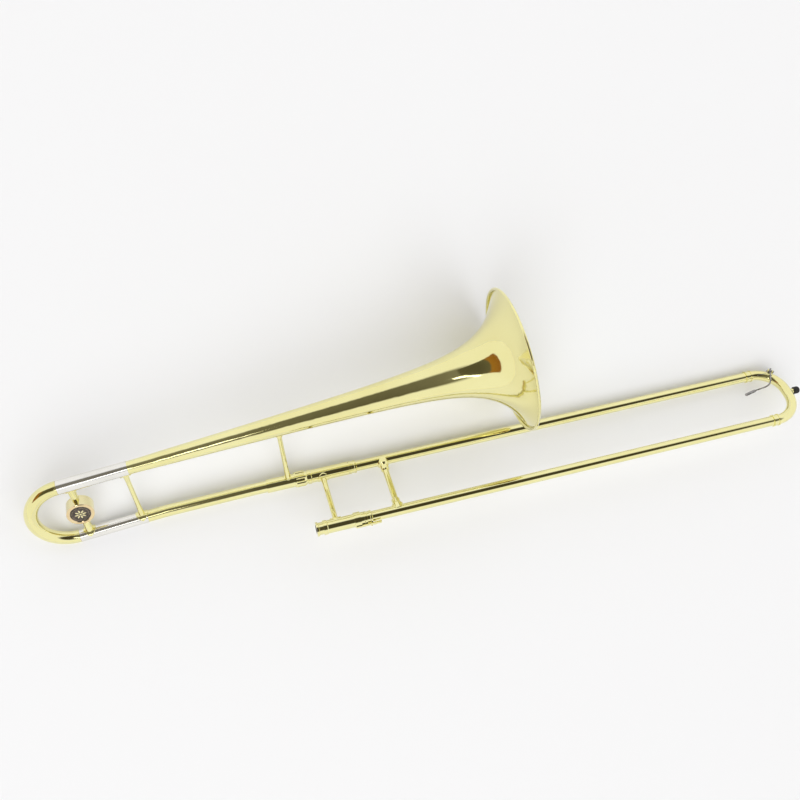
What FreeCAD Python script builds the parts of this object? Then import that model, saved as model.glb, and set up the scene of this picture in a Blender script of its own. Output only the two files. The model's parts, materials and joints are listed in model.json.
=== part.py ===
import FreeCAD, Part
import math
import os

from FreeCAD import Placement, Rotation, Vector

# Straight tenor trombone in B flat, without mouthpiece, lying on a flat surface.
# Everything is drawn first in the instrument's own axes: X runs along the hand slide towards its
# bow, Y lies in the plane of the bell section, towards the bell, and Z is square to that plane.
# At the end all pieces are turned together into the pose in which the instrument rests.
# Lengths are millimetres, angles degrees.

# ---- Overall layout ----
BELL_RADIUS = 101.6          # eight inch bell
BELL_OFFSET = 108.1          # bell axis above the slide axis, at the lock nut
DIVERGENCE = 4.7             # the bell axis opens away from the slide by this angle
RIM_STATION = 320.0          # rim of the bell, measured along the bell axis from the lock nut
LEG_SPACING = 95.6           # between the two legs of the tuning slide
SLIDE_WIDTH = 86.0           # between the two tubes of the hand slide
SECTION_ANGLE = 101.0        # slide plane turned from the bell plane, about the upper slide tube
SLIDE_BOW_STATION = 708.5    # where the bow of the hand slide starts to bend
SLIDE_BOW_CORNER = 38.5      # radius of its two bends

# ---- Tubing ----
SLIDE_BORE = 6.35
INNER_TUBE_RADIUS = 6.75
STOCKING_RADIUS = 6.93       # thickened end of an inner tube, the only part that rubs
STOCKING_LENGTH = 112.0
STOCKING_CLEARANCE = 0.07
OUTER_TUBE_WALL = 0.4
TUNING_CLEARANCE = 0.06
TUNING_LEG_RADIUS_UPPER = 9.0
TUNING_LEG_RADIUS_LOWER = 8.0
TUNING_WALL = 0.5
SLEEVE_WALL = 0.6
BELL_WALL = 0.5
NECKPIPE_RADIUS = 8.2
NECKPIPE_WALL = 0.6

# ---- Bell ----
THROAT_RADIUS = 21.3         # radius of the stem's taper, carried on to the rim
FLARE_LENGTH = 101.0
FLARE_POWER = 3.0
FLARE_POINTS = 26
BEAD_RADIUS = 2.1
RIM_WIRE_RADIUS = 1.5

# ---- Tuning slide and its stations along the bell axis ----
SLEEVE_START = -306.0
SLEEVE_END = -214.0
STEM_OVERLAP = 12.0
TUNING_GAP = 0.4
TUNING_LEG_LENGTH = 78.0
BOW_WALL = 0.6

# ---- Balance weight, on its own brace between the two fixed sleeves ----
WEIGHT_STATION = -291.7
WEIGHT_RADIUS = 18.0
WEIGHT_HALF_HEIGHT = 9.0
WEIGHT_CHAMFER = 1.0
BEZEL_HEIGHT = 1.4
BEZEL_WIDTH = 4.6
MEDALLION_HEIGHT = 0.8
MEDALLION_DOME = 0.5
WEIGHT_SCREW_RADIUS = 4.0
WEIGHT_SCREW_HEIGHT = 1.6
WEIGHT_SCREW_SLOT = 1.0
STUB_FOOT_RADIUS = 5.2
STUB_TIP_RADIUS = 3.8

# ---- Bell section braces ----
REAR_BRACE_STATION = -220.5
FRONT_BRACE_STATION = -9.5   # its foot on the receiver
FRONT_BRACE_TOP_STATION = -14.0
BRACE_RADIUS = 3.2
BRACE_FOOT_RADIUS = 5.2
BRACE_FOOT_LENGTH = 15.0
FLANGE_PLATE = 0.9
FLANGE_SPREAD = 8.5

# ---- Neckpipe, slide receiver, tenon and lock nut ----
RECEIVER_START = -41.0
RECEIVER_RADIUS = 9.6
RECEIVER_THREAD_START = -4.0
RECEIVER_END = 7.0
THREAD_RADIUS = 9.3
SOCKET_OVERLAP = 5.0
TENON_START = -34.0
TENON_TIP_RADIUS = 7.7
TENON_BASE_RADIUS = 8.4
TENON_CLEARANCE = 0.05
COLLAR_LENGTH = 4.0
COLLAR_GAP = 0.6
NECK_BEND_RADIUS = 140.0
NUT_START = -1.5
NUT_LIP_START = 12.2
NUT_BODY_END = 15.5
NUT_FLANGE_LENGTH = 2.2
NUT_FLANGE_RADIUS = 10.7
NUT_RADIUS = 11.0
NUT_CLEARANCE = 0.06
NUT_SCALLOPS = 10
SCALLOP_RADIUS = 2.6

# ---- Hand slide, fixed half ----
BARREL_START_B = 16.5
BARREL_START_A = 19.0
BARREL_END = 75.5
BARREL_RADIUS = 9.3
BARREL_WALL = 0.6
BARREL_RIM_RADIUS = 10.1
BARREL_RIM_LENGTH = 5.0
RECEIVER_A_START = 9.3       # mouth of the mouthpiece receiver
RECEIVER_A_RADIUS = 8.6
RECEIVER_A_RIM_RADIUS = 9.9
MOUTH_RADIUS = 6.3
MOUTH_LENGTH = 2.0
MOUTH_TAPER_LENGTH = 30.0
MOUTH_TAPER_END_RADIUS = 5.5
TUBE_SOCKET_LENGTH = 12.0
LEADPIPE_LENGTH = 190.0
LEADPIPE_CLEARANCE = 0.02
CORK_LENGTH = 8.0
CORK_GAP = 0.3
INNER_TUBE_END = 697.0
GRIP_STATION = 38.3
GRIP_RADIUS = 3.6

# ---- Slide lock ----
LOCK_RING_START = 62.0
LOCK_RING_LENGTH = 9.0
LOCK_RING_WALL = 1.5
LOCK_CLEARANCE = 0.06
LOCK_ARM_ANGLE = 93.0        # round tube A from the bell plane, where the lever's arm begins
LOCK_ARM_SWEEP = 20.0
LOCK_ARM_THICKNESS = 2.2
LOCK_ARM_END = 98.0
LOCK_FINGER_SWEEP = 17.0
LOCK_FINGER_LENGTH = 4.0
LOCK_PLAY = 0.8
LOCK_STUD_ANGLE = 150.0
LOCK_STUD_RADIUS = 1.5
LOCK_STUD_HEIGHT = 3.4
LOCK_STUD_SETBACK = 2.0

# ---- Hand slide, moving half ----
OUTER_TUBE_START = 63.0
TOP_FERRULE_START = 76.2
TOP_FERRULE_LENGTH = 11.0
HAND_BRACE_STATION = 125.5
HAND_BRACE_RADIUS = 4.3
HAND_SOCKET_RADIUS = 6.0
HAND_SOCKET_LENGTH = 11.0
CROOK_FERRULE_START = 698.5
CROOK_FERRULE_LENGTH = 10.0
CROOK_FERRULE_WALL = 0.7
CROOK_RING_WALL = 1.4
CROOK_RING_LENGTH = 2.2
BUMPER_STEM_RADIUS = 3.6
BUMPER_STEM_LENGTH = 2.8
BUMPER_RADIUS = 5.4
BUMPER_LENGTH = 9.7

# ---- Water key: its lever crosses the bow, from a finger touch inside to a cork pad outside ----
KEY_STATION_ANGLE = 40.0     # round the bow from where it starts to bend
KEY_SADDLE_ANGLE = 10.0      # from the slide's face towards the outside of the bow
KEY_PIVOT_HEIGHT = 12.2      # pivot above the axis of the bow's tube
KEY_PIN_RADIUS = 1.1
KEY_PIN_CLEARANCE = 0.06
KEY_HEAD_RADIUS = 2.0
KEY_HEAD_LENGTH = 1.2
KEY_HUB_RADIUS = 2.3
KEY_HUB_HALF_WIDTH = 2.2
KEY_POST_THICKNESS = 1.5
KEY_POST_GAP = 0.25
KEY_POST_FOOT = 3.6
KEY_POST_TOP = 1.9
KEY_BASE_WALL = 0.9
NIPPLE_RADIUS = 3.4
NIPPLE_HOLE_RADIUS = 2.2
NIPPLE_HEIGHT = 2.4
NIPPLE_CLEARANCE = 0.05
CORK_PAD_RADIUS = 3.9
CORK_PAD_HEIGHT = 2.0
KEY_CUP_WALL = 0.6
KEY_CUP_HEIGHT = 2.4
KEY_CUP_SEAT = 1.2
KEY_ARM_RADIUS = 1.2
KEY_ARM_OFFSET = 0.2         # of the arms from the middle of the hub, along the tube
KEY_ELBOW_STATION = 724.0
KEY_ELBOW_HEIGHT = 27.0
KEY_ELBOW_RISE = 7.5
KEY_TOUCH_STATION = 684.0
KEY_TOUCH_HEIGHT = 32.5
KEY_TOUCH_RISE = 2.0
KEY_TOUCH_LENGTH = 17.0
KEY_TOUCH_WIDTH = 4.6
KEY_TOUCH_THICKNESS = 1.8
SPRING_COIL_RADIUS = 2.6
SPRING_WIRE = 0.8
SPRING_LEG_STATION = 716.0

# ---- Values that follow from those above ----
X_AXIS = Vector(1, 0, 0)
Z_AXIS = Vector(0, 0, 1)
BELL_DIRECTION = Vector(math.cos(math.radians(DIVERGENCE)), math.sin(math.radians(DIVERGENCE)), 0)
BELL_NORMAL = Vector(-BELL_DIRECTION.y, BELL_DIRECTION.x, 0)
SLIDE_SIDE = Vector(0, math.cos(math.radians(SECTION_ANGLE)), math.sin(math.radians(SECTION_ANGLE)))
SLIDE_NORMAL = X_AXIS.cross(SLIDE_SIDE)
OUTER_TUBE_BORE = STOCKING_RADIUS + STOCKING_CLEARANCE
OUTER_TUBE_RADIUS = OUTER_TUBE_BORE + OUTER_TUBE_WALL
SLEEVE_BORE_UPPER = TUNING_LEG_RADIUS_UPPER + TUNING_CLEARANCE
SLEEVE_BORE_LOWER = TUNING_LEG_RADIUS_LOWER + TUNING_CLEARANCE
SLEEVE_RADIUS_UPPER = SLEEVE_BORE_UPPER + SLEEVE_WALL
SLEEVE_RADIUS_LOWER = SLEEVE_BORE_LOWER + SLEEVE_WALL
BARREL_BORE = BARREL_RADIUS - BARREL_WALL
TOP_FERRULE_RADIUS = BARREL_RADIUS
BOW_RADIUS = LEG_SPACING / 2
BOW_TUBE_UPPER = TUNING_LEG_RADIUS_UPPER + BOW_WALL - 0.1
BOW_TUBE_LOWER = TUNING_LEG_RADIUS_LOWER + BOW_WALL - 0.1
CROOK_FERRULE_END = CROOK_FERRULE_START + CROOK_FERRULE_LENGTH
OUTER_TUBE_END = CROOK_FERRULE_START + CROOK_FERRULE_LENGTH / 2
LOCK_STUD_STATION = TOP_FERRULE_START + TOP_FERRULE_LENGTH - LOCK_STUD_SETBACK
BUMPER_SEAT = SLIDE_BOW_STATION + SLIDE_BOW_CORNER + OUTER_TUBE_RADIUS


def upper_leg(station, up=0.0):
    """Point on the bell axis, and above it by up."""
    return Vector(0, BELL_OFFSET, 0) + BELL_DIRECTION * station + BELL_NORMAL * up


def lower_leg(station):
    return upper_leg(station, -LEG_SPACING)


def tube_b(station):
    """Point on the axis of the upper slide tube, the one that carries the bell section."""
    return X_AXIS * station


def tube_a(station):
    """Point on the axis of the lower slide tube, the one that takes the mouthpiece."""
    return X_AXIS * station + SLIDE_SIDE * SLIDE_WIDTH


def in_slide_plane(station, height, aside=0.0):
    return X_AXIS * station + SLIDE_SIDE * height + SLIDE_NORMAL * aside


# ---- Shape helpers ----
def rod(start, end, radius):
    return Part.makeCylinder(radius, (end - start).Length, start, end - start)


def pipe(start, end, outer, inner):
    return rod(start, end, outer).cut(rod(start, end, inner))


def turned(outline, origin, axis):
    """Solid of revolution; the outline holds (distance along the axis, radius) points."""
    points = [Vector(along, radius, 0) for along, radius in outline]
    face = Part.Face(Part.makePolygon(points + points[:1]))
    solid = face.revolve(Vector(0, 0, 0), X_AXIS, 360)
    solid.Placement = Placement(origin, Rotation(X_AXIS, axis))
    return solid


def sector(start, end, inner, outer, first_angle, last_angle):
    """Part of a ring about tube A; angles run from +Y towards +Z."""
    pie = Part.makeCylinder(outer, end - start, Vector(0, 0, start), Z_AXIS, last_angle - first_angle)
    ring = pie.cut(Part.makeCylinder(inner, end - start, Vector(0, 0, start)))
    ring.rotate(Vector(0, 0, 0), Z_AXIS, first_angle)
    ring.rotate(Vector(0, 0, 0), Vector(1, 1, 1), 120)
    ring.translate(SLIDE_SIDE * SLIDE_WIDTH)
    return ring


def swept(path, start, direction, radius):
    circle = Part.Wire(Part.makeCircle(radius, start, direction))
    return Part.Wire(path).makePipeShell([circle], True, False)


def swept_pipe(path, start, direction, outer, inner):
    return swept(path, start, direction, outer).cut(swept(path, start, direction, inner))


def post(start, end, radius, foot_radius, foot_length):
    """Round brace with a flared foot at each end."""
    length = (end - start).Length
    outline = [(0, 0), (0, foot_radius), (foot_length / 2, (radius + foot_radius) / 2 - 0.3),
               (foot_length, radius), (length - foot_length, radius),
               (length - foot_length / 2, (radius + foot_radius) / 2 - 0.3),
               (length, foot_radius), (length, 0)]
    return turned(outline, start, end - start)


def saddle(tube_point, tube_direction, tube_radius, towards, spread=FLANGE_SPREAD):
    """Curved plate on a tube, under the foot of a brace."""
    half = tube_direction * spread
    shell = pipe(tube_point - half, tube_point + half, tube_radius + FLANGE_PLATE, tube_radius)
    return shell.common(rod(tube_point, tube_point + towards * (tube_radius * 2), spread))


# ---- Bell ----
def flare_rise(behind_rim):
    """Height of the flare above the stem's taper: 1 at the rim, falling away behind it."""
    return (FLARE_LENGTH / (FLARE_LENGTH + behind_rim)) ** FLARE_POWER


def stem_radius(behind_rim):
    """Outside radius of the bell; its stem narrows to the bore of the sleeve it is soldered into."""
    span = BELL_RADIUS - BEAD_RADIUS - THROAT_RADIUS
    stem_length = RIM_STATION - SLEEVE_END
    taper = (THROAT_RADIUS + span * flare_rise(stem_length) - SLEEVE_BORE_UPPER) / stem_length
    behind = min(behind_rim, stem_length)
    return THROAT_RADIUS - taper * behind + span * flare_rise(behind)


def flare_slope(behind_rim):
    step = 0.01
    return (stem_radius(behind_rim + step) - stem_radius(behind_rim)) / step


def stem_stations():
    """Distances behind the rim, close together where the bell curves most."""
    length = RIM_STATION - SLEEVE_END
    flare = [length * (i / (FLARE_POINTS - 1)) ** 2.2 for i in range(FLARE_POINTS)]
    return flare + [length + STEM_OVERLAP / 2, length + STEM_OVERLAP]


def bell_solid(inset):
    """Solid filled by the bell, drawn in by inset square to its surface."""
    points = []
    for behind in stem_stations():
        slope = flare_slope(behind)
        norm = math.hypot(1, slope)
        points.append(Vector(-behind - inset * slope / norm, stem_radius(behind) - inset / norm, 0))
    outline = Part.BSplineCurve()
    outline.interpolate(points)
    first, last = points[0], points[-1]
    edges = [outline.toShape(), Part.makeLine(last, Vector(last.x, 0, 0)),
             Part.makeLine(Vector(last.x, 0, 0), Vector(first.x, 0, 0)),
             Part.makeLine(Vector(first.x, 0, 0), first)]
    solid = Part.Face(Part.Wire(edges)).revolve(Vector(0, 0, 0), X_AXIS, 360)
    solid.Placement = Placement(upper_leg(RIM_STATION), Rotation(X_AXIS, BELL_DIRECTION))
    return solid


def bead_ring(radius):
    ring = Part.makeTorus(BELL_RADIUS - BEAD_RADIUS, radius)
    ring.Placement = Placement(upper_leg(RIM_STATION - BEAD_RADIUS), Rotation(Z_AXIS, BELL_DIRECTION))
    return ring


def make_bell():
    skin = bell_solid(0).cut(bell_solid(BELL_WALL))
    return skin.fuse(bead_ring(BEAD_RADIUS)).cut(bead_ring(RIM_WIRE_RADIUS))


# ---- Bell section ----
def bell_section():
    upper, lower = SLEEVE_RADIUS_UPPER, SLEEVE_RADIUS_LOWER
    neck_start, neck_end = lower_leg(SLEEVE_END - STEM_OVERLAP), tube_b(RECEIVER_START + SOCKET_OVERLAP)
    front_top, front_bottom = upper_leg(FRONT_BRACE_TOP_STATION), tube_b(FRONT_BRACE_STATION)
    front_down = (front_bottom - front_top).normalize()
    bell_filled = bell_solid(0)
    rear_top, rear_bottom = upper_leg(REAR_BRACE_STATION), lower_leg(REAR_BRACE_STATION)
    rear_rods = (rod(upper_leg(SLEEVE_START), upper_leg(SLEEVE_END), upper + FLANGE_PLATE)
                 .fuse(rod(lower_leg(SLEEVE_START), lower_leg(SLEEVE_END), lower + FLANGE_PLATE)))
    front_radius = stem_radius(RIM_STATION - FRONT_BRACE_TOP_STATION)
    cone_start = upper_leg(FRONT_BRACE_TOP_STATION - FLANGE_SPREAD * 2)
    cone_end = upper_leg(FRONT_BRACE_TOP_STATION + FLANGE_SPREAD * 2)
    front_cone = bell_filled.common(rod(cone_start, cone_end, front_radius * 2))
    front_pad = rod(front_top, front_top + front_down * (front_radius + FLANGE_PLATE), FLANGE_SPREAD - 1.5)
    receiver_body = rod(tube_b(RECEIVER_START), tube_b(RECEIVER_THREAD_START), RECEIVER_RADIUS)
    receiver_flange = saddle(front_bottom, X_AXIS, RECEIVER_RADIUS, front_down * -1,
                             RECEIVER_THREAD_START - FRONT_BRACE_STATION)
    front_post = post(front_top, front_bottom, BRACE_RADIUS, BRACE_FOOT_RADIUS,
                      BRACE_FOOT_LENGTH + RECEIVER_RADIUS)
    front_seats = front_cone.fuse([front_pad, receiver_body, receiver_flange])
    return {
        "bell": make_bell(),
        "rim_wire": bead_ring(RIM_WIRE_RADIUS),
        "upper_tuning_sleeve": pipe(upper_leg(SLEEVE_START), upper_leg(SLEEVE_END), upper,
                                    SLEEVE_BORE_UPPER),
        "lower_tuning_sleeve": pipe(lower_leg(SLEEVE_START), lower_leg(SLEEVE_END), lower,
                                    SLEEVE_BORE_LOWER),
        "rear_bell_brace": post(rear_top, rear_bottom, BRACE_RADIUS, BRACE_FOOT_RADIUS,
                                BRACE_FOOT_LENGTH + upper).cut(rear_rods),
        "rear_brace_flanges": Part.makeCompound([saddle(rear_top, BELL_DIRECTION, upper, BELL_NORMAL * -1),
                                                 saddle(rear_bottom, BELL_DIRECTION, lower, BELL_NORMAL)]),
        "front_bell_brace": front_post.cut(front_seats),
        "front_brace_flanges": Part.makeCompound([front_pad.cut(front_cone), receiver_flange]),
        "neckpipe": make_neckpipe(neck_start, neck_end),
        "slide_receiver": make_slide_receiver(),
        **counterweight(),
    }


def counterweight():
    """Round balance weight with a medallion, held by a short tapered stub from each sleeve."""
    centre = upper_leg(WEIGHT_STATION, -LEG_SPACING / 2)
    top, rim, edge = WEIGHT_HALF_HEIGHT, WEIGHT_RADIUS, WEIGHT_RADIUS - WEIGHT_CHAMFER
    seat_radius, slot = rim - BEZEL_WIDTH, WEIGHT_SCREW_SLOT / 2
    weight = turned([(-top, 0), (-top, edge), (WEIGHT_CHAMFER - top, rim), (top, rim), (top, 0)],
                    centre, Z_AXIS)
    bezel = turned([(top, seat_radius), (top, rim), (top + BEZEL_HEIGHT * 0.6, rim),
                    (top + BEZEL_HEIGHT, rim - 1), (top + BEZEL_HEIGHT, seat_radius + 1),
                    (top + BEZEL_HEIGHT * 0.5, seat_radius)], centre, Z_AXIS)
    medallion_top = top + MEDALLION_HEIGHT
    medallion = turned([(top, 0), (top, seat_radius), (medallion_top - 0.2, seat_radius),
                        (medallion_top, seat_radius - 2), (medallion_top + MEDALLION_DOME, 0)],
                       centre, Z_AXIS)
    back = centre - Z_AXIS * top
    screw = Part.makeCylinder(WEIGHT_SCREW_RADIUS, WEIGHT_SCREW_HEIGHT, back, Z_AXIS * -1)
    groove = Part.makeBox(WEIGHT_SCREW_RADIUS * 3, 2 * slot, WEIGHT_SCREW_HEIGHT / 2,
                          back + Vector(-WEIGHT_SCREW_RADIUS * 1.5, -slot, -WEIGHT_SCREW_HEIGHT))
    pieces = {"counterweight": weight, "counterweight_bezel": bezel, "counterweight_medallion": medallion,
              "counterweight_screw": screw.cut(groove)}
    flanges = []
    for name, leg, radius, inward in (("upper", upper_leg, SLEEVE_RADIUS_UPPER, BELL_NORMAL * -1),
                                      ("lower", lower_leg, SLEEVE_RADIUS_LOWER, BELL_NORMAL)):
        foot = leg(WEIGHT_STATION)
        filled = rod(leg(SLEEVE_START), leg(SLEEVE_END), radius + FLANGE_PLATE)
        stub = Part.makeCone(STUB_FOOT_RADIUS + 0.8, STUB_TIP_RADIUS, LEG_SPACING / 2, foot, inward)
        pieces["weight_stub_" + name] = stub.cut(filled).cut(weight)
        flanges.append(saddle(foot, BELL_DIRECTION, radius, inward))
    pieces["weight_stub_flanges"] = Part.makeCompound(flanges)
    return pieces


def make_neckpipe(start, end):
    """Pipe with a gentle bend at each end, so that it leaves the leg and meets the slide in line."""
    leg_point, slide_point = lower_leg(SLEEVE_END + 2 * STEM_OVERLAP), end - X_AXIS * 2 * STEM_OVERLAP
    middle = (slide_point - leg_point).normalize()
    corners = [start, leg_point, slide_point, end]
    edges, cursor = [], start
    for before, corner, after in zip(corners, corners[1:], corners[2:]):
        into, out = (corner - before).normalize(), (after - corner).normalize()
        turn = into.getAngle(out)
        setback = NECK_BEND_RADIUS * math.tan(turn / 2)
        first, last = corner - into * setback, corner + out * setback
        bulge = NECK_BEND_RADIUS / math.cos(turn / 2) - NECK_BEND_RADIUS
        inward = (out - into).normalize()
        edges += [Part.makeLine(cursor, first), Part.Arc(first, corner + inward * bulge, last).toShape()]
        cursor = last
    edges.append(Part.makeLine(cursor, end))
    bored = swept_pipe(edges, start, BELL_DIRECTION, NECKPIPE_RADIUS, NECKPIPE_RADIUS - NECKPIPE_WALL)
    plug = pipe(start, lower_leg(SLEEVE_END), SLEEVE_BORE_LOWER, NECKPIPE_RADIUS - NECKPIPE_WALL)
    step = pipe(start, lower_leg(SLEEVE_END), NECKPIPE_RADIUS + 1, SLEEVE_BORE_LOWER)
    return bored.cut(step).fuse(plug).removeSplitter()


def tenon_radius(station):
    part = (station - TENON_START) / (RECEIVER_END - TENON_START)
    return TENON_TIP_RADIUS + (TENON_BASE_RADIUS - TENON_TIP_RADIUS) * part


def make_slide_receiver():
    socket_start = RECEIVER_START + SOCKET_OVERLAP
    outline = [(RECEIVER_START, NECKPIPE_RADIUS), (RECEIVER_START, RECEIVER_RADIUS),
               (RECEIVER_THREAD_START, RECEIVER_RADIUS), (RECEIVER_THREAD_START, THREAD_RADIUS),
               (RECEIVER_END, THREAD_RADIUS), (RECEIVER_END, tenon_radius(RECEIVER_END) + TENON_CLEARANCE),
               (socket_start, tenon_radius(socket_start) + TENON_CLEARANCE), (socket_start, NECKPIPE_RADIUS)]
    return turned(outline, Vector(0, 0, 0), X_AXIS)


# ---- Tuning slide ----
def tapered_bow(inset):
    """Half ring from the upper leg round to the lower one, getting thinner on the way."""
    start, end = upper_leg(SLEEVE_START - TUNING_GAP), lower_leg(SLEEVE_START - TUNING_GAP)
    apex = (start + end) * 0.5 - BELL_DIRECTION * BOW_RADIUS
    path = Part.Wire(Part.Arc(start, apex, end).toShape())
    sweep = Part.BRepOffsetAPI.MakePipeShell(path)
    sweep.setFrenetMode(True)
    for point, radius in ((start, BOW_TUBE_UPPER - inset), (end, BOW_TUBE_LOWER - inset)):
        sweep.add(Part.Wire(Part.makeCircle(radius, point, BELL_DIRECTION)))
    sweep.build()
    sweep.makeSolid()
    return sweep.shape()


def tuning_slide():
    start, end = SLEEVE_START - TUNING_GAP, SLEEVE_START - TUNING_GAP + TUNING_LEG_LENGTH
    legs = {}
    for name, leg, radius in (("upper", upper_leg, TUNING_LEG_RADIUS_UPPER),
                              ("lower", lower_leg, TUNING_LEG_RADIUS_LOWER)):
        legs["tuning_leg_" + name] = pipe(leg(start), leg(end), radius, radius - TUNING_WALL)
    return {"tuning_bow": tapered_bow(0).cut(tapered_bow(BOW_WALL)), **legs}


# ---- Hand slide, the half that stays with the bell ----
def make_tenon():
    collar = RECEIVER_END + COLLAR_GAP
    outline = [(TENON_START, TENON_TIP_RADIUS), (RECEIVER_END, TENON_BASE_RADIUS),
               (collar, TENON_BASE_RADIUS), (collar, THREAD_RADIUS), (collar + COLLAR_LENGTH, THREAD_RADIUS),
               (collar + COLLAR_LENGTH, TENON_BASE_RADIUS), (BARREL_START_B, TENON_BASE_RADIUS),
               (BARREL_START_B, BARREL_BORE), (BARREL_START_B + TUBE_SOCKET_LENGTH, BARREL_BORE),
               (BARREL_START_B + TUBE_SOCKET_LENGTH, INNER_TUBE_RADIUS),
               (TENON_START + TUBE_SOCKET_LENGTH, INNER_TUBE_RADIUS),
               (TENON_START + TUBE_SOCKET_LENGTH, SLIDE_BORE),
               (TENON_START, TENON_TIP_RADIUS - NECKPIPE_WALL)]
    return turned(outline, Vector(0, 0, 0), X_AXIS)


def make_mouthpiece_receiver():
    start, seat = RECEIVER_A_START, BARREL_START_A
    tail = seat + TUBE_SOCKET_LENGTH
    taper_end = start + MOUTH_LENGTH + MOUTH_TAPER_LENGTH
    outline = [(start, MOUTH_RADIUS), (start, RECEIVER_A_RIM_RADIUS), (start + 3, RECEIVER_A_RIM_RADIUS),
               (start + 3.6, RECEIVER_A_RADIUS), (seat, RECEIVER_A_RADIUS), (seat, BARREL_BORE),
               (tail, BARREL_BORE), (tail, INNER_TUBE_RADIUS + 1), (taper_end + TUBE_SOCKET_LENGTH,
               INNER_TUBE_RADIUS + 1), (taper_end + TUBE_SOCKET_LENGTH, INNER_TUBE_RADIUS),
               (taper_end, INNER_TUBE_RADIUS), (taper_end, MOUTH_TAPER_END_RADIUS),
               (start + MOUTH_LENGTH, MOUTH_RADIUS)]
    return turned(outline, tube_a(0), X_AXIS)


def make_inner_tube(start, axis_point):
    outline = [(start, SLIDE_BORE), (start, INNER_TUBE_RADIUS),
               (INNER_TUBE_END - STOCKING_LENGTH, INNER_TUBE_RADIUS),
               (INNER_TUBE_END - STOCKING_LENGTH + 2, STOCKING_RADIUS),
               (INNER_TUBE_END, STOCKING_RADIUS), (INNER_TUBE_END, SLIDE_BORE)]
    return turned(outline, axis_point(0), X_AXIS)


def make_barrel(start, axis_point):
    """Cork barrel: a plain tube with a raised rim at each end."""
    rim_end = start + BARREL_RIM_LENGTH
    outline = [(start, BARREL_BORE), (start, BARREL_RIM_RADIUS), (rim_end, BARREL_RIM_RADIUS),
               (rim_end + 1, BARREL_RADIUS), (BARREL_END, BARREL_RADIUS),
               (BARREL_END, BARREL_BORE)]
    return turned(outline, axis_point(0), X_AXIS)


def make_leadpipe():
    """Tapered pipe inside the inner tube, from the receiver on."""
    start = RECEIVER_A_START + MOUTH_LENGTH + MOUTH_TAPER_LENGTH
    outer = SLIDE_BORE - LEADPIPE_CLEARANCE
    outline = [(start, MOUTH_TAPER_END_RADIUS), (start, outer), (start + LEADPIPE_LENGTH, outer),
               (start + LEADPIPE_LENGTH, outer - 0.3)]
    return turned(outline, tube_a(0), X_AXIS)


def slide_fixed_half():
    tube_a_start = RECEIVER_A_START + MOUTH_LENGTH + MOUTH_TAPER_LENGTH
    cork_end = OUTER_TUBE_START - CORK_GAP
    corks = {"cork_ring_" + name: pipe(point(cork_end - CORK_LENGTH), point(cork_end), BARREL_BORE,
                                       INNER_TUBE_RADIUS)
             for name, point in (("b", tube_b), ("a", tube_a))}
    top, bottom = tube_b(GRIP_STATION), tube_a(GRIP_STATION)
    flanges = [saddle(top, X_AXIS, BARREL_RADIUS, SLIDE_SIDE),
               saddle(bottom, X_AXIS, BARREL_RADIUS, SLIDE_SIDE * -1)]
    grip = post(top, bottom, GRIP_RADIUS, GRIP_RADIUS + 1.6, BARREL_RADIUS + 8)
    for point in (tube_b, tube_a):
        grip = grip.cut(rod(point(GRIP_STATION - 20), point(GRIP_STATION + 20), BARREL_RADIUS))
    return {
        "slide_tenon": make_tenon(),
        "barrel_b": make_barrel(BARREL_START_B, tube_b),
        "barrel_a": make_barrel(BARREL_START_A, tube_a),
        "mouthpiece_receiver": make_mouthpiece_receiver(),
        "leadpipe": make_leadpipe(),
        "inner_tube_b": make_inner_tube(TENON_START + TUBE_SOCKET_LENGTH, tube_b),
        "inner_tube_a": make_inner_tube(tube_a_start, tube_a),
        "left_hand_grip": grip.cut(Part.makeCompound(flanges)),
        "grip_flanges": Part.makeCompound(flanges),
        **corks,
    }


def make_lock_nut():
    bore, lip = THREAD_RADIUS + NUT_CLEARANCE, TENON_BASE_RADIUS + NUT_CLEARANCE
    outline = [(NUT_START, bore), (NUT_START, NUT_FLANGE_RADIUS),
               (NUT_START + NUT_FLANGE_LENGTH, NUT_FLANGE_RADIUS),
               (NUT_START + NUT_FLANGE_LENGTH + 0.8, NUT_RADIUS), (NUT_LIP_START, NUT_RADIUS),
               (NUT_BODY_END, NUT_RADIUS - 1.5), (NUT_BODY_END, lip), (NUT_LIP_START, lip),
               (NUT_LIP_START, bore)]
    nut = turned(outline, Vector(0, 0, 0), X_AXIS)
    start = tube_b(NUT_START + NUT_FLANGE_LENGTH)
    for i in range(NUT_SCALLOPS):
        angle = math.radians(360 * i / NUT_SCALLOPS)
        offset = Vector(0, math.cos(angle), math.sin(angle)) * (NUT_RADIUS + SCALLOP_RADIUS * 0.6)
        nut = nut.cut(rod(start + offset, tube_b(NUT_BODY_END + 1) + offset, SCALLOP_RADIUS))
    return nut


def make_slide_lock():
    inner = BARREL_RADIUS + LOCK_CLEARANCE
    outer = inner + LOCK_RING_WALL
    ring_end = LOCK_RING_START + LOCK_RING_LENGTH
    arm_last = LOCK_ARM_ANGLE + LOCK_ARM_SWEEP
    arm_inner = TOP_FERRULE_RADIUS + 0.5
    arm_outer = arm_inner + LOCK_ARM_THICKNESS
    finger_start = LOCK_STUD_STATION + LOCK_STUD_RADIUS + LOCK_PLAY
    ring = pipe(tube_a(LOCK_RING_START), tube_a(ring_end), outer, inner)
    root = sector(LOCK_RING_START + 1, ring_end + 1, outer - 0.5, arm_outer, LOCK_ARM_ANGLE, arm_last)
    arm = sector(ring_end - 1, LOCK_ARM_END, arm_inner, arm_outer, LOCK_ARM_ANGLE, arm_last)
    finger = sector(finger_start, finger_start + LOCK_FINGER_LENGTH, arm_inner, arm_outer, arm_last - 1,
                    arm_last + LOCK_FINGER_SWEEP)
    return ring.fuse([root, arm, finger]).removeSplitter()


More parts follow.
